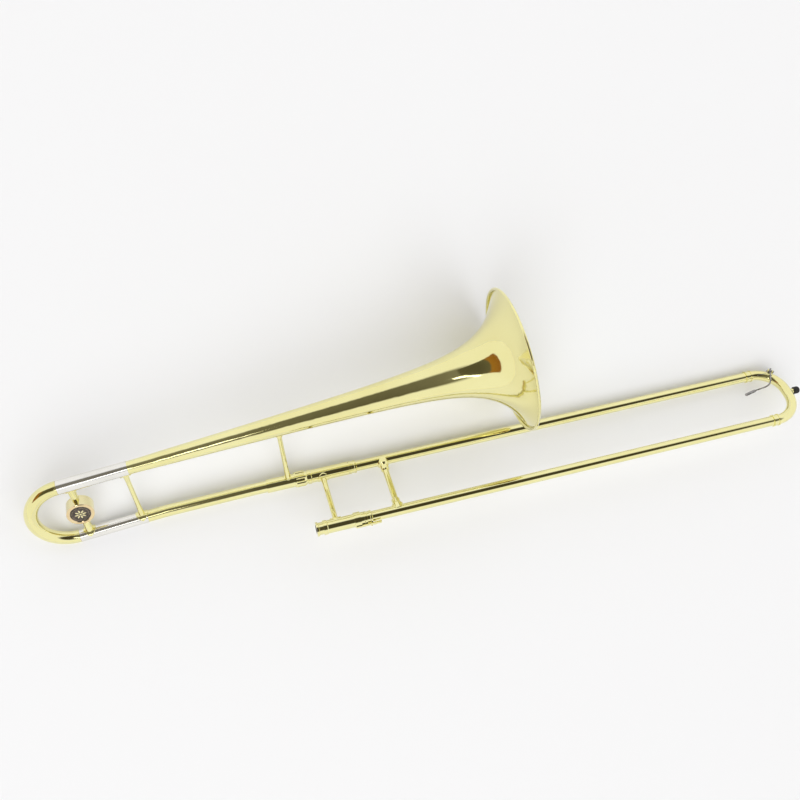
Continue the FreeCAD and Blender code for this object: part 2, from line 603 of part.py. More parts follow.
# ---- Hand slide, the half that moves ----
def make_crook_ferrule(axis_point):
    outer, start, end = OUTER_TUBE_RADIUS, CROOK_FERRULE_START, CROOK_FERRULE_END
    sleeve = pipe(axis_point(start), axis_point(end), outer + CROOK_FERRULE_WALL, outer)
    for ring_start in (start, end - CROOK_RING_LENGTH):
        sleeve = sleeve.fuse(pipe(axis_point(ring_start), axis_point(ring_start + CROOK_RING_LENGTH),
                                  outer + CROOK_RING_WALL, outer))
    return sleeve.removeSplitter()


def key_place():
    """Where the water key crosses the bow: a point on its axis, then the directions along it,
    out of it, and off the slide's face."""
    angle = math.radians(KEY_STATION_ANGLE)
    outward = X_AXIS * math.sin(angle) - SLIDE_SIDE * math.cos(angle)
    along = X_AXIS * math.cos(angle) + SLIDE_SIDE * math.sin(angle)
    centre = in_slide_plane(SLIDE_BOW_STATION, SLIDE_BOW_CORNER)
    return centre + outward * SLIDE_BOW_CORNER, along, outward, SLIDE_NORMAL * -1


def key_pivot():
    place, along, outward, face = key_place()
    tilt = math.radians(KEY_SADDLE_ANGLE)
    return place + (outward * math.sin(tilt) + face * math.cos(tilt)) * KEY_PIVOT_HEIGHT


def bow_edges():
    """Centre line of the slide bow: two bends with a short straight between them."""
    first, last, bend = SLIDE_BOW_STATION, SLIDE_BOW_STATION + SLIDE_BOW_CORNER, SLIDE_BOW_CORNER
    halfway = bend * math.sin(math.radians(45))
    near, far = bend - halfway, SLIDE_WIDTH - bend + halfway
    upper_mid, upper_end = in_slide_plane(first + halfway, near), in_slide_plane(last, bend)
    lower_mid, lower_end = in_slide_plane(first + halfway, far), in_slide_plane(last, SLIDE_WIDTH - bend)
    return [Part.makeLine(tube_b(OUTER_TUBE_END), tube_b(first)),
            Part.Arc(tube_b(first), upper_mid, upper_end).toShape(),
            Part.makeLine(upper_end, lower_end),
            Part.Arc(lower_end, lower_mid, tube_a(first)).toShape(),
            Part.makeLine(tube_a(first), tube_a(OUTER_TUBE_END))]


def slide_moving_half():
    bow_filled = swept(bow_edges(), tube_b(OUTER_TUBE_END), X_AXIS, OUTER_TUBE_RADIUS)
    bow_bore = swept(bow_edges(), tube_b(OUTER_TUBE_END), X_AXIS, OUTER_TUBE_BORE)
    place, _, outward, _ = key_place()
    nipple_end = place + outward * (OUTER_TUBE_RADIUS + NIPPLE_HEIGHT)
    drain = rod(place, nipple_end, NIPPLE_HOLE_RADIUS)
    nipple = rod(place, nipple_end, NIPPLE_RADIUS).cut(bow_filled).cut(drain)
    holder_start = in_slide_plane(BUMPER_SEAT - 4, SLIDE_WIDTH / 2)
    holder_end = in_slide_plane(BUMPER_SEAT + BUMPER_STEM_LENGTH, SLIDE_WIDTH / 2)
    holder = rod(holder_start, holder_end, BUMPER_STEM_RADIUS).cut(bow_filled)
    pieces = {}
    for name, point in (("b", tube_b), ("a", tube_a)):
        pieces["outer_tube_" + name] = pipe(point(OUTER_TUBE_START), point(OUTER_TUBE_END), OUTER_TUBE_RADIUS,
                                            OUTER_TUBE_BORE)
        pieces["top_ferrule_" + name] = make_top_ferrule(point)
        pieces["crook_ferrule_" + name] = make_crook_ferrule(point)
    pieces["lock_stud"] = make_lock_stud()
    pieces["slide_bow"] = bow_filled.cut(bow_bore).cut(drain)
    pieces["water_key_nipple"] = nipple
    pieces["bumper_holder"] = holder
    pieces["rubber_bumper"] = make_bumper()
    pieces.update(hand_brace())
    pieces.update(water_key_mount(bow_filled))
    return pieces


def make_top_ferrule(axis_point):
    start, end = TOP_FERRULE_START, TOP_FERRULE_START + TOP_FERRULE_LENGTH
    outline = [(start, OUTER_TUBE_RADIUS), (start, TOP_FERRULE_RADIUS), (start + 3, TOP_FERRULE_RADIUS),
               (start + 3.6, TOP_FERRULE_RADIUS - 0.6), (end - 3.6, TOP_FERRULE_RADIUS - 0.6),
               (end - 3, TOP_FERRULE_RADIUS), (end - 1, TOP_FERRULE_RADIUS), (end, OUTER_TUBE_RADIUS + 0.3),
               (end, OUTER_TUBE_RADIUS)]
    return turned(outline, axis_point(0), X_AXIS)


def make_lock_stud():
    angle = math.radians(LOCK_STUD_ANGLE)
    outward = Vector(0, math.cos(angle), math.sin(angle))
    centre = tube_a(LOCK_STUD_STATION)
    start = centre + outward * (OUTER_TUBE_RADIUS + 0.5)
    stud = rod(start, centre + outward * (TOP_FERRULE_RADIUS + LOCK_STUD_HEIGHT), LOCK_STUD_RADIUS)
    return stud.cut(make_top_ferrule(tube_a))


def make_bumper():
    start = BUMPER_SEAT + BUMPER_STEM_LENGTH
    outline = [(start, 0), (start, BUMPER_RADIUS - 1), (start + 1, BUMPER_RADIUS),
               (start + BUMPER_LENGTH - 2, BUMPER_RADIUS), (start + BUMPER_LENGTH, BUMPER_RADIUS - 2),
               (start + BUMPER_LENGTH, 0)]
    return turned(outline, in_slide_plane(0, SLIDE_WIDTH / 2), X_AXIS)


def hand_brace():
    """Brace for the right hand: a plain rod in a socket at each tube."""
    top, bottom = tube_b(HAND_BRACE_STATION), tube_a(HAND_BRACE_STATION)
    brace = rod(top, bottom, HAND_BRACE_RADIUS)
    sockets = []
    for point, tube, side in ((top, tube_b, SLIDE_SIDE), (bottom, tube_a, SLIDE_SIDE * -1)):
        tube_filled = rod(tube(HAND_BRACE_STATION - 20), tube(HAND_BRACE_STATION + 20), OUTER_TUBE_RADIUS)
        reach = OUTER_TUBE_RADIUS + HAND_SOCKET_LENGTH
        outline = [(0, HAND_BRACE_RADIUS), (0, HAND_SOCKET_RADIUS + 2.4), (OUTER_TUBE_RADIUS + 0.9,
                   HAND_SOCKET_RADIUS + 2.4), (OUTER_TUBE_RADIUS + 3.4, HAND_SOCKET_RADIUS),
                   (reach - 1, HAND_SOCKET_RADIUS), (reach, HAND_SOCKET_RADIUS - 0.8),
                   (reach, HAND_BRACE_RADIUS)]
        sockets.append(turned(outline, point, side).cut(tube_filled))
        brace = brace.cut(tube_filled)
    return {"right_hand_brace": brace, "right_hand_sockets": Part.makeCompound(sockets)}


# ---- Water key ----
def chain(points, radius):
    """Bent rod through the points, round at each of them."""
    links = [rod(start, end, radius) for start, end in zip(points, points[1:])]
    return links[0].fuse(links[1:] + [Part.makeSphere(radius, point) for point in points])


def water_key_mount(bow_filled):
    place, along, outward, face = key_place()
    pivot = key_pivot()
    up = (pivot - place).normalize()
    cross = up.cross(along)
    inside = KEY_HUB_HALF_WIDTH + KEY_POST_GAP
    outside = inside + KEY_POST_THICKNESS
    top = pivot + up * KEY_POST_TOP
    corners = [place - cross * KEY_POST_FOOT, place + cross * KEY_POST_FOOT, top + cross * KEY_POST_TOP,
               top - cross * KEY_POST_TOP]
    outline = Part.Face(Part.makePolygon(corners + corners[:1]))
    outline.translate(along * -outside)
    block = outline.extrude(along * 2 * outside)
    base = place + up * (OUTER_TUBE_RADIUS + KEY_BASE_WALL)
    gap = Part.makeBox(2 * inside, 4 * KEY_POST_FOOT, 2 * KEY_PIVOT_HEIGHT)
    gap_corner = base - along * inside - cross * 2 * KEY_POST_FOOT
    gap.Placement = Placement(gap_corner, Rotation(along, cross, up, "ZXY"))
    screw = rod(pivot - along * outside, pivot + along * outside, KEY_PIN_RADIUS)
    head = rod(pivot + along * outside, pivot + along * (outside + KEY_HEAD_LENGTH), KEY_HEAD_RADIUS)
    coil_start = pivot - along * KEY_HUB_HALF_WIDTH
    coil = pipe(coil_start, coil_start + along * SPRING_WIRE, SPRING_COIL_RADIUS + SPRING_WIRE,
                SPRING_COIL_RADIUS)
    leg_start = coil_start + along * SPRING_WIRE / 2 - outward * (SPRING_COIL_RADIUS + SPRING_WIRE / 2)
    leg_end = in_slide_plane(SPRING_LEG_STATION, 0) + (SLIDE_SIDE - SLIDE_NORMAL).normalize() * (
        OUTER_TUBE_RADIUS + SPRING_WIRE)
    leg = rod(leg_start, leg_end, SPRING_WIRE / 2)
    return {"water_key_saddle": block.cut(gap).cut(bow_filled).cut(screw),
            "water_key_screw": screw.fuse(head).removeSplitter(),
            "water_key_spring": coil.fuse(leg).cut(bow_filled).removeSplitter()}


def water_key():
    """Lever with a finger touch at one end and a cork pad over the nipple at the other."""
    place, along, outward, face = key_place()
    pivot = key_pivot()
    pad_start = place + outward * (OUTER_TUBE_RADIUS + NIPPLE_HEIGHT + NIPPLE_CLEARANCE)
    pad_end = pad_start + outward * CORK_PAD_HEIGHT
    pad = rod(pad_start, pad_end, CORK_PAD_RADIUS)
    cup = rod(pad_start + outward * KEY_CUP_SEAT, pad_start + outward * (KEY_CUP_SEAT + KEY_CUP_HEIGHT),
              CORK_PAD_RADIUS + KEY_CUP_WALL).cut(pad)
    arm_root = pivot + along * KEY_ARM_OFFSET
    cup_top = pad_end + outward * KEY_ARM_RADIUS
    corner = place + (outward + face).normalize() * (KEY_PIVOT_HEIGHT + KEY_ARM_RADIUS)
    outer_arm = chain([arm_root, corner + along * KEY_ARM_OFFSET, cup_top], KEY_ARM_RADIUS)
    elbow = in_slide_plane(KEY_ELBOW_STATION, KEY_ELBOW_HEIGHT, -KEY_ELBOW_RISE)
    touch_end = in_slide_plane(KEY_TOUCH_STATION, KEY_TOUCH_HEIGHT, -KEY_TOUCH_RISE)
    along_touch = (touch_end - elbow).normalize()
    touch_start = touch_end - along_touch * KEY_TOUCH_LENGTH
    inner_arm = chain([arm_root, elbow, touch_start], KEY_ARM_RADIUS)
    across = SLIDE_NORMAL.cross(along_touch).normalize()
    half = SLIDE_NORMAL * KEY_TOUCH_THICKNESS / 2
    blade = Part.makeBox(KEY_TOUCH_LENGTH, KEY_TOUCH_WIDTH, KEY_TOUCH_THICKNESS)
    blade.Placement = Placement(touch_start - across * KEY_TOUCH_WIDTH / 2 - half,
                                Rotation(along_touch, across, SLIDE_NORMAL, "XYZ"))
    tip = rod(touch_end - half, touch_end + half, KEY_TOUCH_WIDTH / 2)
    hub = rod(pivot - along * KEY_HUB_HALF_WIDTH, pivot + along * KEY_HUB_HALF_WIDTH, KEY_HUB_RADIUS)
    hole = rod(pivot - along * 2 * KEY_HUB_HALF_WIDTH, pivot + along * 2 * KEY_HUB_HALF_WIDTH,
               KEY_PIN_RADIUS + KEY_PIN_CLEARANCE)
    lever = hub.fuse([inner_arm, outer_arm, blade, tip, cup]).cut(hole).cut(pad).removeSplitter()
    return {"water_key_lever": lever, "water_key_cork": pad}


# ---- Resting pose ----
def rest_rotation():
    """Roll and pitch that put the tuning bow, the end of the slide and the rim on one level."""
    bow_station = upper_leg(SLEEVE_START - TUNING_GAP, -LEG_SPACING)
    slide_depth = OUTER_TUBE_RADIUS + CROOK_RING_WALL
    slope, roll = 0.0, math.radians(45)
    rim_height_offset = upper_leg(RIM_STATION).y
    for _ in range(8):
        bow_depth = -bow_station.y * math.sin(roll) + BOW_TUBE_LOWER
        slope = (bow_depth - slide_depth) / (CROOK_FERRULE_END - bow_station.x)
        axis_height = bow_depth - slope * (upper_leg(RIM_STATION).x - bow_station.x)
        roll = math.asin((BELL_RADIUS - axis_height) / rim_height_offset)
    return Rotation(Vector(0, 1, 0), math.degrees(slope)) * Rotation(X_AXIS, math.degrees(roll))


def rest_origin():
    """Shift that puts the middle of the underside of the turned instrument at the origin."""
    box = FreeCAD.BoundBox()
    for pieces in BODIES.values():
        for shape in pieces.values():
            turned_shape = shape.copy()
            turned_shape.Placement = Placement(Vector(0, 0, 0), REST) * turned_shape.Placement
            box.add(turned_shape.optimalBoundingBox(True, False))
    return Vector(-(box.XMin + box.XMax) / 2, -(box.YMin + box.YMax) / 2, -box.ZMin)


BODIES = {
    "bell_section": bell_section(),
    "tuning_slide": tuning_slide(),
    "slide_section": slide_fixed_half(),
    "lock_nut": {"slide_lock_nut": make_lock_nut()},
    "slide_lock": {"slide_lock_ring": make_slide_lock()},
    "outer_slide": slide_moving_half(),
    "water_key": water_key(),
}
REST = rest_rotation()
ORIGIN = rest_origin()

os.makedirs("parts", exist_ok=True)
for pieces in BODIES.values():
    for node, shape in pieces.items():
        shape.Placement = Placement(ORIGIN, REST) * shape.Placement
        shape.exportStep("parts/" + node + ".step")
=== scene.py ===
import json
import math

import bmesh
import bpy
from mathutils import Matrix, Vector


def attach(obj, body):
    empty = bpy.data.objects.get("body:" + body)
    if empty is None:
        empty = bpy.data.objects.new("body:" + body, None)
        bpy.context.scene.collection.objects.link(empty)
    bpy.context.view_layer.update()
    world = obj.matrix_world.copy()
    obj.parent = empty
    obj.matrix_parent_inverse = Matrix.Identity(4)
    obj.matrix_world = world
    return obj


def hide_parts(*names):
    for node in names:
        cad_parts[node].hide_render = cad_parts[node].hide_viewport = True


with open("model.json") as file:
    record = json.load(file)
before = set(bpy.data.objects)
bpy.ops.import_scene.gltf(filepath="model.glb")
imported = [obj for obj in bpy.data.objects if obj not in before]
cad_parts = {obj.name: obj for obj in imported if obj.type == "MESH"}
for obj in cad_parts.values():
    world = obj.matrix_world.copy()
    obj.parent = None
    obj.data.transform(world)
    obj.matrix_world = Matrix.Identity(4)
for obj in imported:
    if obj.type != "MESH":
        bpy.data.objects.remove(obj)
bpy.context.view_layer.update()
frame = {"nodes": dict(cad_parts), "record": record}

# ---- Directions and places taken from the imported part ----
JOINTS = {joint["name"]: joint for joint in frame["record"]["behaviour"]["joints"]}
MOUNTS = {mount["name"]: mount for mount in frame["record"]["mounts"]}
SLIDE_AXIS = Vector(JOINTS["hand_slide"]["axis"]).normalized()
SWIVEL = Vector(JOINTS["slide_swivel"]["pos_m"])
LOCK = Vector(JOINTS["slide_lock_turn"]["pos_m"]) - SWIVEL
SLIDE_SIDE = (LOCK - SLIDE_AXIS * LOCK.dot(SLIDE_AXIS)).normalized()
SLIDE_FACE = SLIDE_SIDE.cross(SLIDE_AXIS)
BELL_AXIS = Vector(MOUNTS["bell_mouth"]["axis"]).normalized()
WEIGHT_AXIS = SLIDE_AXIS.cross(BELL_AXIS).normalized()
KEY_PIVOT = Vector(JOINTS["water_key_press"]["pos_m"])
KEY_ALONG = Vector(JOINTS["water_key_press"]["axis"]).normalized()
KEY_OUT = SLIDE_FACE.cross(KEY_ALONG)

# ---- Bumper, in shares of the CAD bumper's length and radius ----
BUMPER_BASE_RADIUS = 0.82
BUMPER_CHAMFER = (0.04, 0.92)              # along it, and its radius there
BUMPER_RIBS = 4
BUMPER_RIBS_START = 0.06
BUMPER_RIBS_END = 0.78
BUMPER_RIB_DEPTH = 0.06
BUMPER_TIP_FLAT = 0.32
BUMPER_RIB_STEPS = 64
BUMPER_TIP_STEPS = 12

# ---- Medallion, in shares of the CAD medallion's height and radius ----
MEDALLION_EDGE = 0.50
MEDALLION_CROWN = 0.28
MEDALLION_RING_RISE = 0.16
MEDALLION_RINGS = ((0.90, 0.025, 1.0), (0.74, 0.02, 0.7))    # radius, width, height of each ring
MEDALLION_STEPS = 48
ROSETTE_SINK = 0.06                        # foot of a button below the medallion's face
PETALS = (8, 0.36, 0.21, 0.085, 0.22)      # how many, distance out, half length, half width, rise
ROSETTE_CENTRE = (1, 0.0, 0.11, 0.11, 0.30)
BEADS = (36, 0.82, 0.022, 0.022, 0.12)

# ---- Water key, as the part has it, metres ----
KEY_PIVOT_HEIGHT = 0.0122
KEY_SADDLE_ANGLE = math.radians(10)
KEY_CUP_START = 0.01105
KEY_ELBOW = (0.7240, 0.0270, 0.0075)       # along the slide, across it, off its face
KEY_TOUCH_END = (0.6840, 0.0325, 0.0020)
KEY_SHOULDER_RISE = 0.0012                 # of the bend beyond the pivot's height
KEY_CUP_GRIP = 0.0016                      # how far into the cup the arm ends
TOUCH_SECTIONS = ((0.0020, 0.0003, 0.0002), (0.0012, 0.0017, 0.0007), (-0.0010, 0.0023, 0.0009),
                  (-0.0150, 0.0023, 0.0009), (-0.0170, 0.0012, 0.0010))
ARM_SECTIONS = ((0.0011, 0.0011), (0.0012, 0.0012), (0.0013, 0.0012), (0.0015, 0.0015))
ARM_STEPS = 10
HUB_HALF_LENGTH = 0.0022
HUB_OUTLINE = ((0, 0), (0, 0.0021), (0.0002, 0.0023), (0.0008, 0.0023), (0.0010, 0.0021),
               (0.0034, 0.0021), (0.0036, 0.0023), (0.0042, 0.0023), (0.0044, 0.0021), (0.0044, 0))
CUP_OUTLINE = ((0, 0), (0, 0.0043), (0.0002, 0.0045), (0.0006, 0.0045), (0.0008, 0.0042),
               (0.0016, 0.0040), (0.0020, 0.0034), (0.0023, 0.0022), (0.0024, 0))

# ---- Water key's spring, metres ----
SPRING_END = (0.7160, 0.0058, 0.0058)      # along the slide, across it, off its face
SPRING_WIRE = 0.0003
SPRING_RADIUS = 0.0029
SPRING_START = -0.0021                     # along the pivot
SPRING_PITCH = 0.0006
SPRING_TURN_POINTS = 24
SPRING_STEPS = 4
SPRING_SEGMENTS = 12

# ---- Camera ----
CAMERA_TARGET = (-0.03275, 0.01807, 0.0)
CAMERA_DISTANCE = 1.4858
CAMERA_ELEVATION = 79.65
CAMERA_AZIMUTH = 178.93        # of the camera as seen from its target, from +X towards +Y
CAMERA_ROLL = 78.80
CAMERA_LENS = 46.43
CAMERA_SENSOR = 36.0

# ---- Floor and lights ----
FLOOR_SIZE = 14.0
FLOOR_COLOR = (0.875, 0.88, 0.895)
FLOOR_ROUGHNESS = 0.75
FLOOR_SPECULAR = 0.1
SOFTBOX_PLACE = (-0.75, -0.70, 1.9)
SOFTBOX_TARGET = (-0.25, 0, 0)
SOFTBOX_SIZE = (0.20, 0.9)
SOFTBOX_POWER = 1.6
SUN_DIRECTION = (0.10, 0.50, -0.88)
SUN_STRENGTH = 1.56
SUN_SPREAD = 70

# ---- Room that the metal mirrors; places are parts of a view direction of length 1 ----
WHITE = (1.0, 1.0, 1.0)
BLACK = (0.0, 0.0, 0.0)
CEILING_SHIFT = 0.5            # added to the direction's X before the ceiling's colours are read
CEILING_COLORS = ((0.0, (0.30, 0.285, 0.25)), (0.42, (0.16, 0.15, 0.12)),
                  (0.62, (0.06, 0.052, 0.035)))
WALL_TOP = ((0.76, WHITE), (0.86, BLACK))
DOORWAY_HALF_WIDTH = 0.40
DOORWAY_EDGE = -0.3
DOORWAY_BOTTOM = 0.40
DOORWAY_COLORS = ((0.40, (0.28, 0.11, 0.02)), (0.62, (0.36, 0.17, 0.03)),
                  (0.66, (0.13, 0.12, 0.08)), (0.80, (0.10, 0.09, 0.06)))

# ---- Materials ----
# Metals: colour, colour of its darker clouds, roughness, coat, clouds per metre
METALS = {
    "lacquered_brass": ((0.88, 0.83, 0.42), (0.84, 0.78, 0.36), 0.08, 0.5, 9.0),
    "weight_brass": ((0.84, 0.77, 0.44), (0.80, 0.71, 0.38), 0.14, 0.4, 60.0),
    "rose_brass": ((0.84, 0.68, 0.40), (0.78, 0.60, 0.33), 0.12, 0.3, 60.0),
    "raw_brass": ((0.76, 0.63, 0.33), (0.66, 0.54, 0.27), 0.24, 0.0, 40.0),
    "nickel_silver": ((0.86, 0.84, 0.79), (0.80, 0.78, 0.73), 0.12, 0.2, 30.0),
    "chromed_tube": ((0.80, 0.81, 0.83), (0.76, 0.77, 0.79), 0.07, 0.0, 30.0),
    "medallion": ((0.16, 0.13, 0.11), (0.07, 0.06, 0.05), 0.35, 0.1, 300.0),
    "steel": ((0.34, 0.33, 0.32), (0.22, 0.215, 0.21), 0.26, 0.0, 200.0),
}
# Grained: colour, colour between the grains, roughness, grains per metre, depth of the grain
GRAINED = {
    "cork": ((0.66, 0.46, 0.27), (0.33, 0.20, 0.10), 0.85, 900.0, 0.0004),
    "black_rubber": ((0.014, 0.014, 0.015), (0.006, 0.006, 0.007), 0.6, 1500.0, 0.0001),
}
COAT_ROUGHNESS = 0.04
CLOUD_DETAIL = 4.0
CLOUD_EDGES = (0.35, 0.65)
GLOSS_RANGE = (0.7, 1.4)       # times the metal's roughness
WAVES_PER_CLOUD = 3
WAVE_STRENGTH = 0.02
WAVE_DEPTH = 0.001
GRAIN_EDGE = 0.6
GRAIN_STRENGTH = 0.5
MERGE_DISTANCE = 1e-7


# ---- Shader nodes ----
def node_tree(name):
    material = bpy.data.materials.new(name)
    material.use_nodes = True
    return material, material.node_tree.nodes, material.node_tree.links


def math_node(nodes, links, operation, first, second):
    """Math node of two inputs, each a socket or a number."""
    node = nodes.new("ShaderNodeMath")
    node.operation = operation
    for socket, value in zip(node.inputs, (first, second)):
        if isinstance(value, float):
            socket.default_value = value
        else:
            links.new(value, socket)
    return node.outputs["Value"]


def color_ramp(nodes, links, source, stops):
    """Colour read off the stops, which hold (position, colour)."""
    ramp = nodes.new("ShaderNodeValToRGB")
    elements = ramp.color_ramp.elements
    elements[0].position, elements[0].color = stops[0][0], (*stops[0][1], 1)
    elements[1].position, elements[1].color = stops[-1][0], (*stops[-1][1], 1)
    for position, color in stops[1:-1]:
        elements.new(position).color = (*color, 1)
    links.new(source, ramp.inputs["Fac"])
    return ramp.outputs["Color"]


def mixed(nodes, links, factor, first, second):
    """Mix of two colours, each a socket or a colour."""
    mix = nodes.new("ShaderNodeMix")
    mix.data_type = "RGBA"
    links.new(factor, mix.inputs["Factor"])
    for socket, value in ((mix.inputs["A"], first), (mix.inputs["B"], second)):
        if isinstance(value, tuple):
            socket.default_value = (*value, 1)
        else:
            links.new(value, socket)
    return mix.outputs["Result"]


def texture(nodes, links, kind, scale):
    """Texture in the object's own coordinates."""
    place = nodes.new("ShaderNodeTexCoord")
    pattern = nodes.new(kind)
    pattern.inputs["Scale"].default_value = scale
    links.new(place.outputs["Object"], pattern.inputs["Vector"])
    return pattern


def add_bump(nodes, links, height, strength, depth):
    bump = nodes.new("ShaderNodeBump")
    bump.inputs["Strength"].default_value = strength
    bump.inputs["Distance"].default_value = depth
    links.new(height, bump.inputs["Height"])
    links.new(bump.outputs["Normal"], nodes["Principled BSDF"].inputs["Normal"])


# ---- Materials ----
def lacquered_metal(name, color, dark, roughness, coat, scale):
    """Polished metal under lacquer: faint clouds of colour and gloss, and fine polishing waves."""
    material, nodes, links = node_tree(name)
    shader = nodes["Principled BSDF"]
    shader.inputs["Metallic"].default_value = 1.0
    shader.inputs["Coat Weight"].default_value = coat
    shader.inputs["Coat Roughness"].default_value = COAT_ROUGHNESS
    clouds = texture(nodes, links, "ShaderNodeTexNoise", scale)
    clouds.inputs["Detail"].default_value = CLOUD_DETAIL
    tint = color_ramp(nodes, links, clouds.outputs["Fac"], tuple(zip(CLOUD_EDGES, (dark, color))))
    links.new(tint, shader.inputs["Base Color"])
    gloss = nodes.new("ShaderNodeMapRange")
    gloss.inputs["To Min"].default_value = roughness * GLOSS_RANGE[0]
    gloss.inputs["To Max"].default_value = roughness * GLOSS_RANGE[1]
    links.new(clouds.outputs["Fac"], gloss.inputs["Value"])
    links.new(gloss.outputs["Result"], shader.inputs["Roughness"])
    waves = texture(nodes, links, "ShaderNodeTexNoise", scale * WAVES_PER_CLOUD)
    add_bump(nodes, links, waves.outputs["Fac"], WAVE_STRENGTH, WAVE_DEPTH)
    return material


def grained(name, color, dark, roughness, scale, depth):
    """Cork or rubber: a granular surface with no shine of its own."""
    material, nodes, links = node_tree(name)
    shader = nodes["Principled BSDF"]
    shader.inputs["Roughness"].default_value = roughness
    grain = texture(nodes, links, "ShaderNodeTexVoronoi", scale)
    tint = color_ramp(nodes, links, grain.outputs["Distance"], ((0.0, dark), (GRAIN_EDGE, color)))
    links.new(tint, shader.inputs["Base Color"])
    add_bump(nodes, links, grain.outputs["Distance"], GRAIN_STRENGTH, depth)
    return material


MATERIALS = {name: lacquered_metal(name, *values) for name, values in METALS.items()}
MATERIALS.update((name, grained(name, *values)) for name, values in GRAINED.items())


def dress_nodes():
    for subpart in frame["record"]["subparts"]:
        obj = frame["nodes"][subpart["node"]]
        obj.data.materials.clear()
        obj.data.materials.append(MATERIALS[subpart["material_slot"]])


# ---- Floor, lights, room and camera ----
def make_floor():
    mesh = bpy.data.meshes.new("floor")
    half = FLOOR_SIZE / 2
    corners = [(-half, -half, 0), (half, -half, 0), (half, half, 0), (-half, half, 0)]
    mesh.from_pydata(corners, [], [(0, 1, 2, 3)])
    floor = bpy.data.objects.new("floor", mesh)
    bpy.context.collection.objects.link(floor)
    material, nodes, _ = node_tree("floor")
    shader = nodes["Principled BSDF"]
    shader.inputs["Roughness"].default_value = FLOOR_ROUGHNESS
    shader.inputs["Base Color"].default_value = (*FLOOR_COLOR, 1)
    shader.inputs["Specular IOR Level"].default_value = FLOOR_SPECULAR
    mesh.materials.append(material)


def aimed(direction):
    """Rotation of a light that shines in the direction."""
    return direction.to_track_quat("-Z", "Y").to_euler()


def make_softbox():
    """Long lamp that leaves a bright streak on the brass."""
    data = bpy.data.lights.new("softbox", "AREA")
    data.shape = "RECTANGLE"
    data.size, data.size_y = SOFTBOX_SIZE
    data.energy = SOFTBOX_POWER
    light = bpy.data.objects.new("softbox", data)
    light.location = SOFTBOX_PLACE
    light.rotation_euler = aimed(Vector(SOFTBOX_TARGET) - Vector(SOFTBOX_PLACE))
    bpy.context.collection.objects.link(light)


def make_soft_sun():
    """Even light over the whole floor; polished metal doesn't mirror it."""
    data = bpy.data.lights.new("key", "SUN")
    data.energy = SUN_STRENGTH
    data.angle = math.radians(SUN_SPREAD)
    light = bpy.data.objects.new("key", data)
    light.rotation_euler = aimed(Vector(SUN_DIRECTION))
    light.visible_glossy = False
    bpy.context.collection.objects.link(light)


def make_room():
    """White walls, a dim ceiling that is lighter to the left, and a dark doorway there with warm
    wood in it. It stands in for the photographer's room, which shows only as a reflection."""
    world = bpy.data.worlds.new("studio")
    bpy.context.scene.world = world
    world.use_nodes = True
    nodes, links = world.node_tree.nodes, world.node_tree.links
    place = nodes.new("ShaderNodeTexCoord")
    split = nodes.new("ShaderNodeSeparateXYZ")
    links.new(place.outputs["Generated"], split.inputs["Vector"])
    x, y, z = (split.outputs[name] for name in "XYZ")
    across = math_node(nodes, links, "ADD", x, CEILING_SHIFT)
    ceiling = color_ramp(nodes, links, across, CEILING_COLORS)
    wall = color_ramp(nodes, links, z, WALL_TOP)
    room = mixed(nodes, links, wall, ceiling, WHITE)
    side = math_node(nodes, links, "ABSOLUTE", y, 0.0)
    narrow = math_node(nodes, links, "LESS_THAN", side, DOORWAY_HALF_WIDTH)
    beyond = math_node(nodes, links, "LESS_THAN", x, DOORWAY_EDGE)
    above = math_node(nodes, links, "GREATER_THAN", z, DOORWAY_BOTTOM)
    doorway = math_node(nodes, links, "MULTIPLY", narrow,
                        math_node(nodes, links, "MULTIPLY", beyond, above))
    color = mixed(nodes, links, doorway, room, color_ramp(nodes, links, z, DOORWAY_COLORS))
    links.new(color, nodes["Background"].inputs["Color"])
    nodes["Background"].inputs["Strength"].default_value = 1.0


def aim_camera():
    azimuth, elevation = math.radians(CAMERA_AZIMUTH), math.radians(CAMERA_ELEVATION)
    backward = Vector((math.cos(elevation) * math.cos(azimuth),
                       math.cos(elevation) * math.sin(azimuth), math.sin(elevation)))
    level_right = Vector((0, 0, 1)).cross(backward).normalized()
    right = Matrix.Rotation(math.radians(CAMERA_ROLL), 3, backward) @ level_right
    up = backward.cross(right)
    data = bpy.data.cameras.new("camera")
    data.lens = CAMERA_LENS
    data.sensor_width = CAMERA_SENSOR
    camera = bpy.data.objects.new("camera", data)
    place = Matrix.Translation(Vector(CAMERA_TARGET) + backward * CAMERA_DISTANCE)
    camera.matrix_world = place @ Matrix((right, up, backward)).transposed().to_4x4()
    bpy.context.collection.objects.link(camera)
    bpy.context.scene.camera = camera


# ---- Meshes ----
def add_piece(name, vertices, faces, body, slot, nodes=()):
    """Finished mesh that rides on a body and stands for the nodes."""
    mesh = bpy.data.meshes.new(name)
    mesh.from_pydata(vertices, [], faces)
    shell = bmesh.new()
    shell.from_mesh(mesh)
    bmesh.ops.remove_doubles(shell, verts=shell.verts, dist=MERGE_DISTANCE)
    bmesh.ops.recalc_face_normals(shell, faces=shell.faces)
    for face in shell.faces:
        face.smooth = True
    shell.to_mesh(mesh)
    shell.free()
    mesh.materials.append(MATERIALS[slot])
    piece = bpy.data.objects.new(name, mesh)
    bpy.context.collection.objects.link(piece)
    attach(piece, body)
    if nodes:
        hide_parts(*nodes)


def in_slide_plane(place):
    """Point at (along the slide, across it, off its face)."""
    station, height, rise = place
    return SWIVEL + SLIDE_AXIS * station + SLIDE_SIDE * height + SLIDE_FACE * rise


def square_to(axis):
    first = axis.orthogonal().normalized()
    return first, axis.cross(first).normalized()


